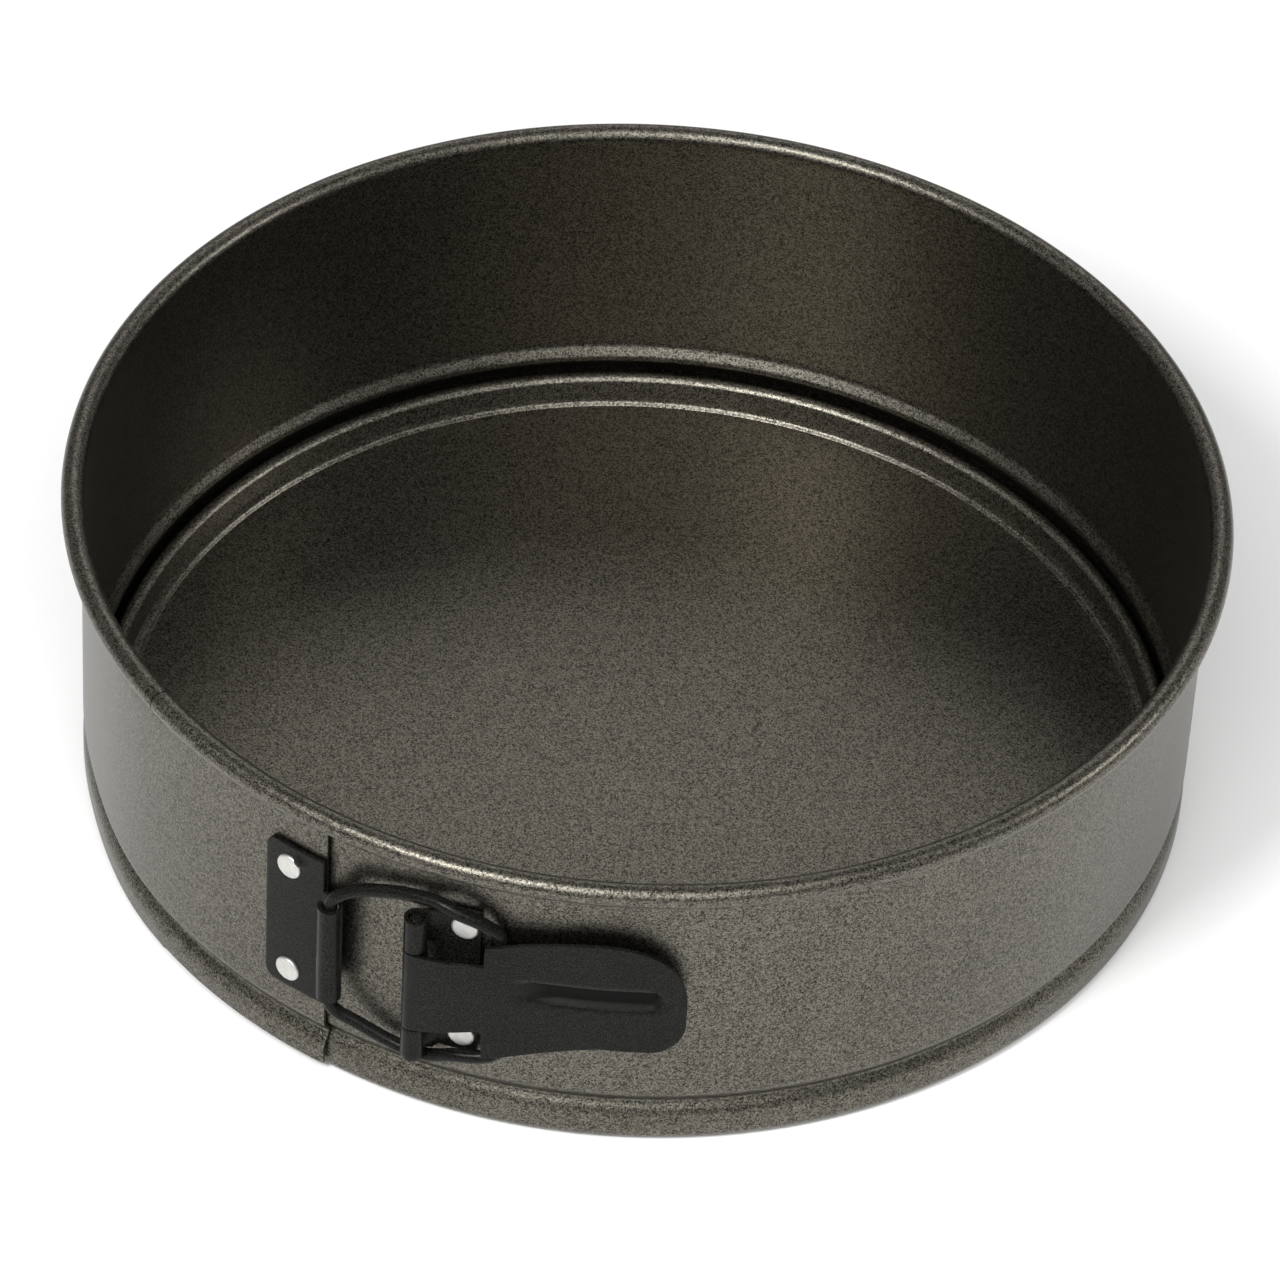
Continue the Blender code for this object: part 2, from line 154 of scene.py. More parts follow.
HOOK_CURL = 2.15 * MM
HOOK_TAB = (26.3 * MM, 51.0 * MM)
HOOK_CORNER = 2.4 * MM
DIMPLE = (8.1 * MM, 2.4 * MM)       # from the plate's left edge, and above the upper rivet
DIMPLE_RADIUS = 1.6 * MM
DIMPLE_RISE = 0.8 * MM
PIN_AT = 120.2 * MM
BRACKET_TABS = ((19.3 * MM, 27.6 * MM), (48.9 * MM, 57.0 * MM))
BRACKET_RIGHT = 5.9
BRACKET_LEFT = 1.9
LEAF_AT = 118.5 * MM
LEAF_START = 6.8                    # inner edge of the leaf
LEAF_SETTLES = 13.0                 # the leaf reaches LEAF_AT here
LEAF_END = 26.2                     # just past its tip
LEAF_PARTS = 52
LEAF_LEVELS = (22.5 * MM, 57.5 * MM)
GROOVE_SPAN = (9.0, 23.6)           # bearings of its faded and its round end
GROOVE_Z = 42.9 * MM
GROOVE_FADE = 9.0 * MM
GROOVE_BED = 2.0 * MM
GROOVE_FLANKS = (0.7 * MM, 1.9 * MM)                # widths of its upper and lower flank
GROOVE_ROUND = 2.6 * MM
NECK = (28.0 * MM, 48.4 * MM)
NECK_RISE = 2.8 * MM
EAR_BEARING = 6.9
EARS = (("upper", NECK[1] + 0.3 * MM, 52.3 * MM), ("lower", 24.9 * MM, 30.6 * MM))
EAR_INSIDE = 116.4 * MM
HOOK_RIVETS = (-14.5, (53.5 * MM, 25.2 * MM))
BRACKET_RIVETS = (4.3, (54.2 * MM, 24.7 * MM))
WIRE_LEG = (8.0, 117.5)             # bearing and radius in millimetres of the leg behind the lever
PLAY = 0.3 * MM                     # gap between pieces that lie on each other
BROKEN_EDGE = 0.16 * MM             # bevel on the cut edges of the latch's sheet
SHARP_ANGLE = math.radians(32.0)    # steeper edges than this are shaded sharp


def wall_radius():
    """Middle of the wall's sheet, worked back from the outside of the rim."""
    band = bpy.context.scene.pan_band
    return RIM_OUTSIDE - band.sheet / 2 - band.roll - ROLL_STAND


def spot(radius, bearing, z=0.0):
    turn = math.radians(bearing)
    return Vector((radius * math.sin(turn), -radius * math.cos(turn), z))


def arc(centre, radius, start, end, steps):
    turns = [math.radians(start + (end - start) * k / steps) for k in range(steps + 1)]
    return [(centre[0] + radius * math.cos(t), centre[1] + radius * math.sin(t)) for t in turns]


def smoothstep(value):
    value = min(max(value, 0.0), 1.0)
    return value * value * (3.0 - 2.0 * value)


def rounded(corners, steps):
    """An open outline of (x, y, reach) corners, each inner corner eased over its reach."""
    points = [Vector(corners[0][:2])]
    for before, here, after in zip(corners, corners[1:], corners[2:]):
        at = Vector(here[:2])
        if not here[2]:
            points.append(at)
            continue
        start = at + (Vector(before[:2]) - at).normalized() * here[2]
        end = at + (Vector(after[:2]) - at).normalized() * here[2]
        for k in range(steps + 1):
            t = k / steps
            points.append(start * (1 - t) ** 2 + at * 2 * t * (1 - t) + end * t * t)
    points.append(Vector(corners[-1][:2]))
    return [(p.x, p.y) for p in points]


def add_piece(name, bm, finish):
    mesh = bpy.data.meshes.new(name)
    bm.to_mesh(mesh)
    bm.free()
    made = bpy.data.objects.new(name, mesh)
    bpy.context.scene.collection.objects.link(made)
    mesh.materials.append(finish)
    return made


def settle(made):
    """Apply the modifiers and shade the result smooth, with its cut edges sharp."""
    graph = bpy.context.evaluated_depsgraph_get()
    mesh = bpy.data.meshes.new_from_object(made.evaluated_get(graph))
    made.modifiers.clear()
    made.data = mesh
    mesh.shade_smooth()
    mesh.set_sharp_from_angle(angle=SHARP_ANGLE)
    return made


def thicken(made, thickness, edge=0.0):
    """Give a sheet its thickness and, if asked, break its cut edges."""
    solid = made.modifiers.new("Sheet", 'SOLIDIFY')
    solid.thickness = thickness
    solid.offset = 0.0
    solid.use_even_offset = True
    if edge:
        bevel = made.modifiers.new("Broken edges", 'BEVEL')
        bevel.width = edge
        bevel.segments = 2
        bevel.limit_method = 'ANGLE'
        bevel.angle_limit = math.radians(50.0)
        bevel.use_clamp_overlap = True


def finish_piece(made, body, slot, *nodes):
    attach(made, body)
    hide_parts(*nodes)
    return made


# ---------------------------------------------------------------- band

def band_profile():
    """Lip, foot, skirt, bead and wall of the band as (radius, height), up to the tongue's top."""
    band = bpy.context.scene.pan_band
    wall = wall_radius()
    foot = (wall - SKIRT_TURN, SKIRT_TURN + band.sheet / 2)
    points = [LIP] + arc(foot, SKIRT_TURN, -90.0, 0.0, 12)
    deep = wall - band.bead
    foot_ease, deep_ease, head_ease = BEAD_EASE
    points += rounded([(wall, SKIRT_TOP, 0), (wall, BEAD_FOOT, foot_ease),
                       (deep, band.bead_height, deep_ease), (wall, BEAD_HEAD, head_ease),
                       (wall, WALL_START, 0)], 8)
    start = points[-1][1]
    points += [(wall, start + (TONGUE_TOP - start) * k / WALL_PARTS) for k in range(1, WALL_PARTS + 1)]
    return points


def rim_profile():
    band = bpy.context.scene.pan_band
    centre = (wall_radius() + ROLL_STAND, RIM_TOP - band.sheet / 2 - band.roll)
    return arc(centre, band.roll, 180.0, -112.0, 32)


def lay_profile(bm, points, bearing):
    verts = [bm.verts.new(spot(radius, bearing, z)) for radius, z in points]
    return verts + [bm.edges.new(pair) for pair in zip(verts, verts[1:])]


def sweep(bm, geom, degrees, step=0.75):
    swept = bmesh.ops.spin(bm, geom=geom, cent=(0, 0, 0), axis=(0, 0, 1), angle=math.radians(degrees),
                           steps=max(1, round(degrees / step)), use_merge=False)
    return swept["geom_last"]


def band_mesh(start, end, tongue_end=None):
    bm = bmesh.new()
    last = sweep(bm, lay_profile(bm, band_profile() + rim_profile(), start), end - start)
    if tongue_end is not None:
        kept = [e for e in last if isinstance(e, bmesh.types.BMEdge)
                and all(SKIRT_TURN < v.co.z < TONGUE_TOP + 0.05 * MM and v.co.xy.length > TONGUE_INSIDE
                        for v in e.verts)]
        verts = list({v for e in kept for v in e.verts})
        sweep(bm, verts + kept, tongue_end - end)
    bmesh.ops.recalc_face_normals(bm, faces=bm.faces)
    return bm


def shaded_band_coating():
    # painted shade: the band gets a copy of the coating darkened to 0.82 of the base's brightness
    return coating("shaded_band_coating", 0.82)


def stand_off(bm):
    """Ease the outer end of the band outwards below the rim, so that it laps over the inner end."""
    lap = bpy.context.scene.pan_band.lap
    for vert in bm.verts:
        bearing = math.degrees(math.atan2(vert.co.x, -vert.co.y))
        if bearing > 0.0:
            bearing -= 360.0
        share = smoothstep((bearing - LAP_START) / (LAP_FULL - LAP_START))
        share *= 1.0 - smoothstep((vert.co.z - TONGUE_TOP) / RIM_FLUSH)
        radius = vert.co.xy.length
        vert.co.xy *= (radius + lap * share) / radius


class PAN_OT_band(bpy.types.Operator):
    """Roll the side band, its outer end lapping over its inner end behind the latch"""
    bl_idname = "pan.band"
    bl_label = "Side band"

    def execute(self, context):
        sheet = context.scene.pan_band.sheet
        right = add_piece("band_inner_end", band_mesh(ROLL_END + RIM_GAP, BACK_JOIN), shaded_band_coating())
        thicken(right, sheet)
        settle(right)
        finish_piece(right, "band_right", "nonstick_band", "side_band_right")

        bm = band_mesh(BACK_JOIN, 360.0 + ROLL_END - RIM_GAP, 360.0 + BAND_END)
        stand_off(bm)
        left = add_piece("band_outer_end", bm, shaded_band_coating())
        thicken(left, sheet)
        settle(left)
        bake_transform(left)
        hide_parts("side_band_left")
        return {'FINISHED'}


# ---------------------------------------------------------------- base plate

def base_profile():
    """Rim, sloping flange and floor of the base, from its outer edge in to the centre."""
    band = bpy.context.scene.pan_band
    edge, floor = band.base_edge, band.floor_height
    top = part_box("base_plate")[1].z - band.sheet / 2
    flange = floor + 0.9 * MM
    outline = [(edge, top - 0.9 * MM, 0), (edge, top, 0.5 * MM), (edge - 1.4 * MM, top, 0.5 * MM),
               (edge - 2.2 * MM, top - 0.7 * MM, 0.3 * MM), (edge - 3.2 * MM, flange + 0.25 * MM, 0.12 * MM),
               (edge - 4.7 * MM, flange, 0.3 * MM), (edge - 5.3 * MM, floor, 0.3 * MM)]
    outline += [((edge - 7.5 * MM) * (1 - k / 8), floor, 0) for k in range(8)]
    return rounded(outline + [(0.0, floor, 0)], 4)


class PAN_OT_base(bpy.types.Operator):
    """Press the base plate with its stepped flange and upturned rim"""
    bl_idname = "pan.base"
    bl_label = "Base plate"

    def execute(self, context):
        bm = bmesh.new()
        geom = lay_profile(bm, base_profile(), 0.0)
        bmesh.ops.spin(bm, geom=geom, cent=(0, 0, 0), axis=(0, 0, 1), angle=math.tau, steps=360,
                       use_merge=True)
        bmesh.ops.remove_doubles(bm, verts=bm.verts, dist=0.000001)
        bmesh.ops.recalc_face_normals(bm, faces=bm.faces)
        base = add_piece("base_tray", bm, coating("base_coating", 1.0))
        thicken(base, context.scene.pan_band.sheet)
        settle(base)
        finish_piece(base, "base", "nonstick_base", "base_plate")
        return {'FINISHED'}


# ---------------------------------------------------------------- bent sheets

def curl_path(centre_r, bearing, radius, start, turn_deg, steps=30):
    """Plan points of a curl round a vertical axis; 0 degrees points outwards and 90 towards +X."""
    centre, out = spot(centre_r, bearing), spot(1.0, bearing)
    side = Vector((-out.y, out.x, 0.0))
    turns = [math.radians(start + turn_deg * k / steps) for k in range(steps + 1)]
    return [centre + radius * (math.cos(t) * out + math.sin(t) * side) for t in turns]


def plan_lengths(path):
    lengths = [0.0]
    for a, b in zip(path, path[1:]):
        lengths.append(lengths[-1] + (b - a).length)
    return lengths


def bend_blank(path, outline, levels, press=None):
    """Cut a flat blank to its outline, crease it finely and bend it along the plan path."""
    lengths = plan_lengths(path)
    bm = bmesh.new()
    groove_shade = bm.verts.layers.float.new("groove_shade")
    bm.faces.new([bm.verts.new((s, 0.0, z)) for s, z in outline])
    cuts = [((s, 0, 0), (1, 0, 0)) for s in lengths[1:-1]] + [((0, 0, z), (0, 0, 1)) for z in levels]
    for place, normal in cuts:
        everything = bm.verts[:] + bm.edges[:] + bm.faces[:]
        bmesh.ops.bisect_plane(bm, geom=everything, dist=0.00001, plane_co=place, plane_no=normal)
    for vert in bm.verts:
        s, z = vert.co.x, vert.co.z
        last = len(lengths) - 2
        leg = 0
        while leg < last and lengths[leg + 1] <= s + 0.000001:
            leg += 1
        share = (s - lengths[leg]) / (lengths[leg + 1] - lengths[leg])
        place = path[leg].lerp(path[leg + 1], share)
        if press is not None:
            pressed = press(s, z)
            place = place - place.normalized() * pressed
            # the pressed depth is kept as a mask for the painted shade in the groove
            vert[groove_shade] = max(0.0, pressed) / (1.5 * MM)
        vert.co = (place.x, place.y, z)
    bmesh.ops.recalc_face_normals(bm, faces=bm.faces)
    return bm


def levels_between(low, high, pitch):
    count = max(1, round((high - low) / pitch))
    return [low + (high - low) * k / count for k in range(1, count)]


def rivet_piece(name, bearing, z, seat, tail):
    """A flat-headed rivet on a radial axis, head outside and closed end inside."""
    head = bpy.context.scene.pan_latch.rivet
    rise = 0.7 * MM
    depth = seat - tail
    outline = rounded([(0.0, rise * 1.05, 0), (head * 0.85, rise, 0.3 * MM), (head, rise * 0.6, 0.25 * MM),
                       (head, 0.0, 0), (head * 0.5, -0.05 * MM, 0), (head * 0.5, -depth, 0),
                       (0.0, -depth, 0)], 5)
    bm = bmesh.new()
    verts = [bm.verts.new((r, 0.0, h)) for r, h in outline]
    edges = [bm.edges.new(pair) for pair in zip(verts, verts[1:])]
    bmesh.ops.spin(bm, geom=verts + edges, cent=(0, 0, 0), axis=(0, 0, 1), angle=math.tau, steps=48,
                   use_merge=True)
    bmesh.ops.remove_doubles(bm, verts=bm.verts, dist=0.000004)
    bmesh.ops.recalc_face_normals(bm, faces=bm.faces)
    stand = Matrix.Translation(spot(seat, bearing, z))
    turn = Matrix.Rotation(math.radians(bearing), 4, 'Z') @ Matrix.Rotation(math.pi / 2, 4, 'X')
    bmesh.ops.transform(bm, matrix=stand @ turn, verts=bm.verts)
    return settle(add_piece(name, bm, aluminium()))


def hook_dimple(place_s, place_z):
    """A shallow bump beside the upper rivet, left by the riveting tool."""
    def press(s, z):
        far = math.hypot(s - place_s, z - place_z) / DIMPLE_RADIUS
        return -DIMPLE_RISE * smoothstep((1.0 - far) * 1.4)
    return press


class PAN_OT_hook(bpy.types.Operator):
    """Bend the hook plate round its curl and rivet it to the band's outer end"""
    bl_idname = "pan.hook"
    bl_label = "Hook plate"

    def execute(self, context):
        band, latch = context.scene.pan_band, context.scene.pan_latch
        sheet_r = wall_radius() + band.lap + band.sheet / 2 + PLAY + latch.sheet / 2
        plate = [spot(sheet_r, HOOK_LEFT + (BAND_END - HOOK_LEFT) * k / 24) for k in range(25)]
        path = plate + curl_path(HOOK_AT, HOOK_BEARING, HOOK_CURL, 180.0, -275.0)
        lengths = plan_lengths(path)
        edge, end = lengths[24], lengths[-1]
        outline = [(edge, HOOK_LOW), (edge, HOOK_TAB[0]), (end, HOOK_TAB[0]), (end, HOOK_TAB[1]),
                   (edge, HOOK_TAB[1]), (edge, HOOK_HIGH)]
        outline += arc((HOOK_CORNER, HOOK_HIGH - HOOK_CORNER), HOOK_CORNER, 90.0, 180.0, 8)
        outline += arc((HOOK_CORNER, HOOK_LOW + HOOK_CORNER), HOOK_CORNER, 180.0, 270.0, 8)
        dimple = hook_dimple(DIMPLE[0], HOOK_RIVETS[1][0] + DIMPLE[1])
        levels = levels_between(HOOK_LOW, HOOK_HIGH, 0.6 * MM)
        hook = add_piece("hook", bend_blank(path, outline, levels, dimple), enamel())
        thicken(hook, latch.sheet, BROKEN_EDGE)
        settle(hook)
        finish_piece(hook, "band_left", "latch_enamel", "hook_plate")
        seat = sheet_r + latch.sheet / 2
        for name, z in zip(("upper", "lower"), HOOK_RIVETS[1]):
            rivet = rivet_piece("rivet_hook_" + name, HOOK_RIVETS[0], z, seat, wall_radius() + band.lap)
            finish_piece(rivet, "band_left", "rivet_aluminium", "hook_rivet_" + name)
        return {'FINISHED'}


class PAN_OT_bracket(bpy.types.Operator):
    """Bend the lever's bracket, rivet it to the band's inner end and set the hinge pin in it"""
    bl_idname = "pan.bracket"
    bl_label = "Lever bracket"

    def execute(self, context):
        band, latch = context.scene.pan_band, context.scene.pan_latch
        sheet_r = wall_radius() + band.sheet / 2 + PLAY + latch.sheet / 2
        plate = [spot(sheet_r, BRACKET_RIGHT + (BRACKET_LEFT - BRACKET_RIGHT) * k / 12) for k in range(13)]
        path = plate + curl_path(PIN_AT, 0.0, latch.curl, 180.0, 275.0)
        lengths = plan_lengths(path)
        edge, end = lengths[12], lengths[-1]
        (low_a, low_b), (high_a, high_b) = BRACKET_TABS
        ease = edge + 1.2 * MM
        outline = [(0.0, BRACKET_LOW + 1.0 * MM), (edge, BRACKET_LOW + 1.0 * MM), (ease, low_a), (end, low_a),
                   (end, low_b), (edge, low_b), (edge, high_a), (end, high_a), (end, high_b), (ease, high_b),
                   (edge, BRACKET_HIGH), (0.0, BRACKET_HIGH)]
        levels = levels_between(BRACKET_LOW, BRACKET_HIGH, 1.2 * MM)
        bracket = add_piece("bracket", bend_blank(path, outline, levels), enamel())
        thicken(bracket, latch.sheet, BROKEN_EDGE)
        settle(bracket)
        finish_piece(bracket, "band_right", "latch_enamel", "lever_bracket")
        for name, z in zip(("upper", "lower"), BRACKET_RIVETS[1]):
            rivet = rivet_piece("rivet_bracket_" + name, BRACKET_RIVETS[0], z, sheet_r + latch.sheet / 2,
                                wall_radius() - band.sheet / 2 - 0.3 * MM)
            finish_piece(rivet, "band_right", "rivet_aluminium", "bracket_rivet_" + name)
        self.add_pin(latch)
        return {'FINISHED'}

    def add_pin(self, latch):
        low, high = BRACKET_TABS[0][0] + 0.2 * MM, BRACKET_TABS[1][1] - 0.2 * MM
        bm = bmesh.new()
        bmesh.ops.create_cone(bm, cap_ends=True, segments=40, radius1=latch.pin, radius2=latch.pin,
                              depth=high - low)
        rims = [e for e in bm.edges if abs(e.verts[0].co.z - e.verts[1].co.z) < 0.00001]
        bmesh.ops.bevel(bm, geom=rims, offset=0.25 * MM, offset_type='OFFSET', affect='EDGES', segments=3,
                        profile=0.5, material=-1)
        bmesh.ops.translate(bm, vec=spot(PIN_AT, 0.0, (low + high) / 2), verts=bm.verts)
        pin = settle(add_piece("pin", bm, enamel()))
        finish_piece(pin, "band_right", "latch_enamel", "hinge_pin")


# ---------------------------------------------------------------- lever

def leaf_radius(bearing):
    """The leaf drops from the front of the pin to its place close to the band."""
    front = PIN_AT + bpy.context.scene.pan_latch.curl
    return LEAF_AT + (front - LEAF_AT) * (1.0 - smoothstep(bearing / LEAF_SETTLES))


def leaf_outline():
    """Outline of the leaf as (bearing, height): top edge, round tip, waisted bottom edge."""
    points = [(LEAF_START, 53.6), (8.4, 54.1), (10.0, 54.8), (11.5, 55.3), (13.0, 55.8), (15.2, 56.5)]
    for k in range(19):
        turn = math.radians(90.0 - 5.0 * k)
        across, rise = abs(math.cos(turn)) ** 0.86, abs(math.sin(turn)) ** 0.86
        points.append((17.5 + 8.5 * across, 41.0 + 15.8 * rise))
    for k in range(1, 13):
        turn = math.radians(-7.5 * k)
        points.append((22.7 + 3.3 * math.cos(turn), 36.6 + 8.0 * math.sin(turn)))
    points += [(20.4, 28.7), (18.0, 28.9), (16.2, 28.3), (14.3, 27.3), (12.4, 26.1), (10.5, 24.9),
               (8.6, 23.8)]
    return [(bearing, z * MM) for bearing, z in points + [(LEAF_START, 23.2)]]


def groove_press(start, end, centre_z, depth):
    """The groove fades in from the neck and ends round; its upper flank is the steep one."""
    def press(s, z):
        along = smoothstep((s - start) / GROOVE_FADE)
        rise = z - centre_z
        past = max(0.0, s - (end - GROOVE_ROUND))
        across = math.hypot(past, rise) if past else abs(rise)
        flank = GROOVE_FLANKS[0] if rise > 0.0 else GROOVE_FLANKS[1]
        return depth * along * smoothstep((GROOVE_BED + flank - across) / flank)
    return press


class PAN_OT_lever(bpy.types.Operator):
    """Wrap the lever's neck round the pin and press the groove into its leaf"""
    bl_idname = "pan.lever"
    bl_label = "Lever"

    def execute(self, context):
        latch = context.scene.pan_latch
        curl = curl_path(PIN_AT, 0.0, latch.curl, 95.0, 265.0)
        bearings = [LEAF_END * k / LEAF_PARTS for k in range(1, LEAF_PARTS + 1)]
        path = curl + [spot(leaf_radius(b), b) for b in bearings]
        lengths = plan_lengths(path)
        marks = [0.0] + bearings
        front = len(curl) - 1

        def developed(bearing):
            leg = max(k for k in range(len(marks) - 1) if marks[k] <= bearing)
            share = (bearing - marks[leg]) / (marks[leg + 1] - marks[leg])
            return lengths[front + leg] + share * (lengths[front + leg + 1] - lengths[front + leg])

        step = developed(LEAF_START)
        outline = [(0.0, NECK[0]), (0.0, NECK[1]), (step, NECK[1])]
        outline += [(developed(bearing), z) for bearing, z in leaf_outline()]
        outline += [(step, NECK[0] + NECK_RISE), (lengths[front], NECK[0])]
        groove = groove_press(developed(GROOVE_SPAN[0]), developed(GROOVE_SPAN[1]), GROOVE_Z, latch.groove)
        levels = levels_between(*LEAF_LEVELS, 0.55 * MM)
        lever = add_piece("lever_leaf", bend_blank(path, outline, levels, groove), enamel())
        thicken(lever, latch.sheet, BROKEN_EDGE)
        settle(lever)
        finish_piece(lever, "lever", "latch_enamel", "lever")
        for name, low, high in EARS:
            self.add_ear(name, low, high, latch.sheet)
        return {'FINISHED'}

    def add_ear(self, name, low, high, sheet):
        """An inner corner of the leaf, turned in towards the band to hold the bail's leg."""
        reach = (EAR_INSIDE, leaf_radius(EAR_BEARING) + 0.2 * MM)
        bm = bmesh.new()
        bmesh.ops.create_cube(bm, size=1.0)
        bmesh.ops.scale(bm, vec=(sheet, reach[1] - reach[0], high - low), verts=bm.verts)
        bmesh.ops.bevel(bm, geom=bm.edges[:], offset=0.18 * MM, offset_type='OFFSET', affect='EDGES',
                        segments=3, profile=0.5, material=-1)
        turn = Matrix.Rotation(math.radians(EAR_BEARING), 4, 'Z')
        place = Matrix.Translation(spot(sum(reach) / 2, EAR_BEARING, (low + high) / 2))
        bmesh.ops.transform(bm, matrix=place @ turn, verts=bm.verts)
        ear = settle(add_piece("lever_ear_" + name, bm, enamel()))
        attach(ear, "lever")


# ---------------------------------------------------------------- bail

def bail_route():
    """Points of the closed wire: hook leg, upper arm, leg behind the lever, lower arm."""
    leg, leg_r = WIRE_LEG
    upper = [(HOOK_BEARING, 120.2, 44.0), (HOOK_BEARING, 120.2, 50.0), (-8.8, 120.2, 52.6),
             (-8.0, 119.7, 54.8), (-6.4, 118.7, 56.8), (-4.2, 118.0, 58.3), (-1.8, 117.8, 59.6),
             (1.0, 118.0, 60.4), (2.6, 118.6, 60.3), (4.2, 118.9, 59.5), (5.8, 118.4, 58.2),
             (7.0, 118.0, 56.6), (7.8, 117.6, 55.0), (leg, leg_r, 53.2)]
    lower = [(leg, leg_r, 44.0), (leg, leg_r, 32.0), (leg, leg_r, 23.6), (7.8, 117.6, 22.3),
             (7.0, 118.0, 21.4), (5.6, 118.4, 20.8), (3.8, 118.5, 20.1), (2.4, 118.2, 18.7),
             (0.8, 117.9, 17.5), (-1.8, 117.8, 17.5), (-4.2, 118.0, 18.7), (-6.2, 118.7, 20.5),
             (-8.0, 119.7, 22.3), (-8.8, 120.2, 24.4), (HOOK_BEARING, 120.2, 27.5),
             (HOOK_BEARING, 120.2, 36.0)]
    return [spot(radius * MM, bearing, z * MM) for bearing, radius, z in upper + lower]


def smooth_loop(points, steps=6):
    """A closed curve through the points, each span cut into steps."""
    count = len(points)
    smooth = []
    for k in range(count):
        a, b, c, d = (points[(k + shift) % count] for shift in (-1, 0, 1, 2))
        for j in range(steps):
            t = j / steps
            smooth.append(0.5 * (2 * b + (c - a) * t + (2 * a - 5 * b + 4 * c - d) * t * t
                                 + (3 * b - a - 3 * c + d) * t ** 3))
    return smooth


class PAN_OT_bail(bpy.types.Operator):
    """Bend the bail wire through the hook's curl and behind the lever"""
    bl_idname = "pan.bail"
    bl_label = "Bail wire"

    def execute(self, context):
        curve = bpy.data.curves.new("bail", 'CURVE')
        curve.dimensions = '3D'
        curve.bevel_depth = context.scene.pan_latch.wire
        curve.bevel_resolution = 6
        route = smooth_loop(bail_route())
        spline = curve.splines.new('POLY')
        spline.points.add(len(route) - 1)
        for point, place in zip(spline.points, route):
            point.co = (*place, 1.0)
        spline.use_cyclic_u = True
        curve.materials.append(enamel())
        bail = bpy.data.objects.new("bail", curve)
        context.scene.collection.objects.link(bail)
        graph = context.evaluated_depsgraph_get()
        mesh = bpy.data.meshes.new_from_object(bail.evaluated_get(graph))
        mesh.shade_smooth()
        bpy.data.objects.remove(bail)
        loop = bpy.data.objects.new("bail_loop", mesh)
        context.scene.collection.objects.link(loop)
        finish_piece(loop, "bail", "latch_enamel", "bail_wire")
        return {'FINISHED'}


# ---------------------------------------------------------------- finishes

class Wire:
    """A shader socket that takes part in Python arithmetic."""

    def __init__(self, tree, socket):
        self.tree = tree
        self.socket = socket

    def math(self, operation, first, second):
        node = self.tree.nodes.new('ShaderNodeMath')
        node.operation = operation
        for slot, value in zip(node.inputs, (first, second)):
            feed(self.tree, slot, value)
        return Wire(self.tree, node.outputs[0])

    def __add__(self, other):
        return self.math('ADD', self, other)

    def __sub__(self, other):
        return self.math('SUBTRACT', self, other)

    def __rsub__(self, other):
        return self.math('SUBTRACT', other, self)

    def __mul__(self, other):
        return self.math('MULTIPLY', self, other)

    __radd__ = __add__
    __rmul__ = __mul__


def feed(tree, slot, value):
    if isinstance(value, Wire):
        tree.links.new(value.socket, slot)
    else:
        slot.default_value = value


class Finish:
    """A material and its nodes."""

    def __init__(self, name):
        self.material = bpy.data.materials.new(name)
        self.material.use_nodes = True
        self.tree = self.material.node_tree
        self.shader = self.tree.nodes["Principled BSDF"]

    def node(self, kind, settings, inputs, output=0):
        """Add any node: its settings first, then its sockets; gives back one of its outputs."""
        made = self.tree.nodes.new(kind)
        for key, value in settings.items():
            setattr(made, key, value)
        for key, value in inputs.items():
            feed(self.tree, made.inputs[key], value)
        return Wire(self.tree, made.outputs[output])

    def blend_colours(self, factor, dark, light):
        return self.node('ShaderNodeMix', {"data_type": 'RGBA', "clamp_factor": True},
                         {0: factor, 6: (*dark, 1.0), 7: (*light, 1.0)}, 2)

    def place(self):
        return self.node('ShaderNodeTexCoord', {}, {}, "Object")

    def noise(self, scale, detail=2.0, rough=0.5):
        return self.node('ShaderNodeTexNoise', {},
                         {"Vector": self.place(), "Scale": scale, "Detail": detail, "Roughness": rough})

    def bump(self, height, strength, distance):
        return self.node('ShaderNodeBump', {}, {"Height": height, "Strength": strength, "Distance": distance})

    def set(self, **values):
        for key, value in values.items():
            feed(self.tree, self.shader.inputs[key.replace("_", " ")], value)
        return self.material


def coating(name, shade):
    """Non-stick coating: fine metal flakes in a dark binder, with a slightly grained skin."""
    known = bpy.data.materials.get(name)
    if known:
        return known
    look = bpy.context.scene.pan_finishes
    finish = Finish(name)
    flakes = finish.node('ShaderNodeTexVoronoi', {}, {"Vector": finish.place(), "Scale": 3500.0}, "Color")
    specks = finish.node('ShaderNodeTexVoronoi', {}, {"Vector": finish.place(), "Scale": 6100.0}, "Color")
    coarse = finish.node('ShaderNodeSeparateColor', {}, {0: flakes})
    fine = finish.node('ShaderNodeSeparateColor', {}, {0: specks}, 1)
    skin = finish.noise(3400.0, 2.0, 0.7)
    cloud = finish.noise(34.0, 3.0)
    factor = coarse * 0.80 + fine * 0.45 - 0.20 + (cloud - 0.5) * 0.10
    # a shade below 1 paints shade into a darker copy of the same coating
    dark = tuple(channel * shade for channel in look.coating_dark)
    light = tuple(channel * shade for channel in look.coating_light)
    tint = finish.blend_colours(factor, dark, light)
    rough = 0.27 + coarse * 0.08 + fine * 0.05 + cloud * 0.03
    relief = finish.bump(coarse * 0.5 + skin, 0.33, 0.00008)
    return finish.set(Base_Color=tint, Metallic=1.0, Roughness=rough, Normal=relief)


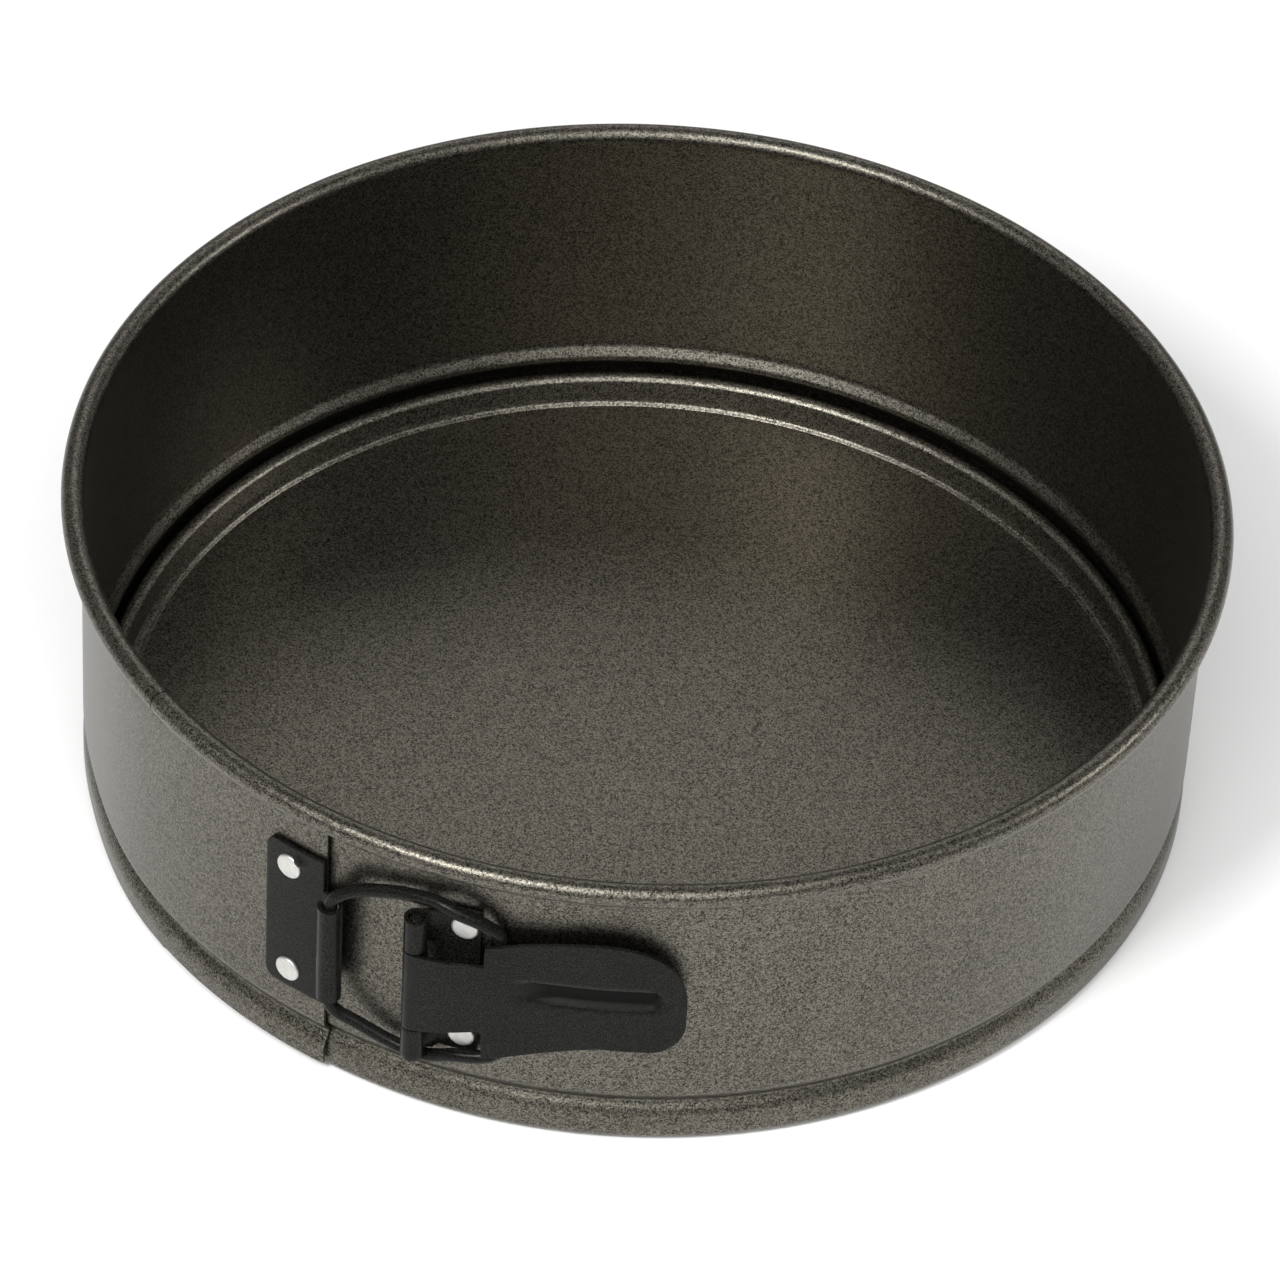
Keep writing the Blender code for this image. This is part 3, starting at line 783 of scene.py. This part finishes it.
def enamel():
    """Black enamel over steel: semi-gloss with a faint orange peel and fine dust, with painted shade
    darkening the lever's groove.
    """
    known = bpy.data.materials.get("black_enamel")
    if known:
        return known
    look = bpy.context.scene.pan_finishes
    finish = Finish("black_enamel")
    peel = finish.noise(1300.0, 3.0, 0.6)
    dust = finish.noise(3800.0, 2.0, 0.8)
    cloud = finish.noise(90.0, 3.0)
    lighter = tuple(channel * 8.0 for channel in look.enamel)
    groove_shade = finish.node('ShaderNodeAttribute', {"attribute_name": "groove_shade"}, {}, "Fac")
    pits = dust * 5.0 - 2.35 + (cloud - 0.5) * 0.3
    # painted shade: the colour is pulled towards the dark enamel where the groove is pressed deepest
    tint = finish.blend_colours(pits * (1.0 - groove_shade * 0.95), look.enamel, lighter)
    rough = 0.15 + dust * 0.12 + (cloud - 0.5) * 0.06 + groove_shade * 0.35
    skin = finish.bump(peel * 0.4 + dust, 0.4, 0.00008)
    finish.set(Specular_IOR_Level=0.09)
    return finish.set(Base_Color=tint, Roughness=rough, Normal=skin)


def aluminium():
    """Bare, slightly dull aluminium with hammer marks."""
    known = bpy.data.materials.get("bare_aluminium")
    if known:
        return known
    look = bpy.context.scene.pan_finishes
    finish = Finish("bare_aluminium")
    marks = finish.noise(700.0, 4.0, 0.6)
    dust = finish.noise(3000.0, 2.0, 0.6)
    darker = tuple(channel * 0.72 for channel in look.rivet)
    tint = finish.blend_colours(marks * 1.4 - 0.1, darker, look.rivet)
    rough = 0.36 + dust * 0.16
    skin = finish.bump(marks + dust * 0.3, 0.12, 0.0001)
    return finish.set(Base_Color=tint, Metallic=0.85, Roughness=rough, Normal=skin)


def pale_floor():
    finish = Finish("pale_floor")
    look = bpy.context.scene.pan_stage
    return finish.set(Base_Color=(*look.floor, 1.0), Roughness=0.6)


# ---------------------------------------------------------------- stage

ROOM_BRIGHTNESS = 0.29
FLOOR_REACH = 6.0
# name, bearing and elevation in degrees, distance and size in metres, power in watts
LIGHTS = (("overhead", 19.5, 50.0, 2.2, 1.9, 32.0),
          ("front_left", -17.0, 50.0, 1.5, 0.36, 14.0),
          ("back", 199.0, 38.0, 1.7, 0.9, 2.8),
          ("right_edge", 112.0, 30.0, 1.6, 0.3, 5.5))


class PAN_OT_stage(bpy.types.Operator):
    """Lay the pale floor and set the soft lights and the camera"""
    bl_idname = "pan.stage"
    bl_label = "Stage"

    def execute(self, context):
        self.add_floor()
        self.add_lights(context)
        self.add_camera(context)
        return {'FINISHED'}

    def add_floor(self):
        bm = bmesh.new()
        bmesh.ops.create_grid(bm, x_segments=1, y_segments=1, size=FLOOR_REACH)
        floor = add_piece("floor", bm, pale_floor())

    def add_lights(self, context):
        world = bpy.data.worlds.new("white_room")
        world.use_nodes = True
        world.node_tree.nodes["Background"].inputs["Color"].default_value = (1.0, 1.0, 1.0, 1.0)
        world.node_tree.nodes["Background"].inputs["Strength"].default_value = ROOM_BRIGHTNESS
        context.scene.world = world
        context.scene.view_settings.view_transform = 'Standard'
        for name, bearing, rise, away, size, power in LIGHTS:
            level = away * math.cos(math.radians(rise))
            place = spot(level, bearing, away * math.sin(math.radians(rise)))
            data = bpy.data.lights.new(name, 'AREA')
            data.size = size
            data.energy = power
            light = bpy.data.objects.new(name, data)
            light.location = place
            light.rotation_euler = (-place).to_track_quat('-Z', 'Y').to_euler()
            context.scene.collection.objects.link(light)

    def add_camera(self, context):
        stage = context.scene.pan_stage
        turn, rise = stage.bearing, stage.elevation
        back = Vector((math.sin(turn) * math.cos(rise), -math.cos(turn) * math.cos(rise), math.sin(rise)))
        place = back * stage.distance
        side = Vector((math.cos(turn), math.sin(turn), 0.0))
        up = back.cross(side)
        tipped_back = back * math.cos(stage.pitch) - up * math.sin(stage.pitch)
        tipped_up = up * math.cos(stage.pitch) + back * math.sin(stage.pitch)
        right = side * math.cos(stage.roll) - tipped_up * math.sin(stage.roll)
        top = side * math.sin(stage.roll) + tipped_up * math.cos(stage.roll)
        data = bpy.data.cameras.new("camera")
        data.lens = stage.lens
        data.sensor_width = 36.0
        camera = bpy.data.objects.new("camera", data)
        basis = Matrix((right, top, tipped_back)).transposed().to_4x4()
        camera.matrix_world = Matrix.Translation(place) @ basis
        context.scene.collection.objects.link(camera)
        context.scene.camera = camera


# ---------------------------------------------------------------- panel and registration

class PAN_PT_sidebar(bpy.types.Panel):
    """Lists the pieces of the pan and their sizes"""
    bl_idname = "PAN_PT_sidebar"
    bl_label = "Springform pan"
    bl_space_type = 'VIEW_3D'
    bl_region_type = 'UI'
    bl_category = "Springform pan"

    def draw(self, context):
        for operator in OPERATORS:
            self.layout.operator(operator.bl_idname)
        for holder in GROUPS:
            group = getattr(context.scene, holder)
            box = self.layout.box()
            for key in group.__annotations__:
                box.prop(group, key)


GROUPS = {"pan_band": BandSizes, "pan_latch": LatchSizes, "pan_finishes": Finishes,
          "pan_stage": StageSettings}
OPERATORS = (PAN_OT_band, PAN_OT_base, PAN_OT_hook, PAN_OT_bracket, PAN_OT_lever, PAN_OT_bail, PAN_OT_stage)


def register():
    for group in GROUPS.values():
        bpy.utils.register_class(group)
    for operator in OPERATORS:
        bpy.utils.register_class(operator)
    bpy.utils.register_class(PAN_PT_sidebar)
    for holder, group in GROUPS.items():
        setattr(bpy.types.Scene, holder, bpy.props.PointerProperty(type=group))


def unregister():
    for holder in GROUPS:
        delattr(bpy.types.Scene, holder)
    bpy.utils.unregister_class(PAN_PT_sidebar)
    for operator in reversed(OPERATORS):
        bpy.utils.unregister_class(operator)
    for group in reversed(list(GROUPS.values())):
        bpy.utils.unregister_class(group)


def main():
    register()
    bpy.ops.pan.band()
    bpy.ops.pan.base()
    bpy.ops.pan.hook()
    bpy.ops.pan.bracket()
    bpy.ops.pan.lever()
    bpy.ops.pan.bail()
    bpy.ops.pan.stage()


if __name__ == "__main__":
    main()
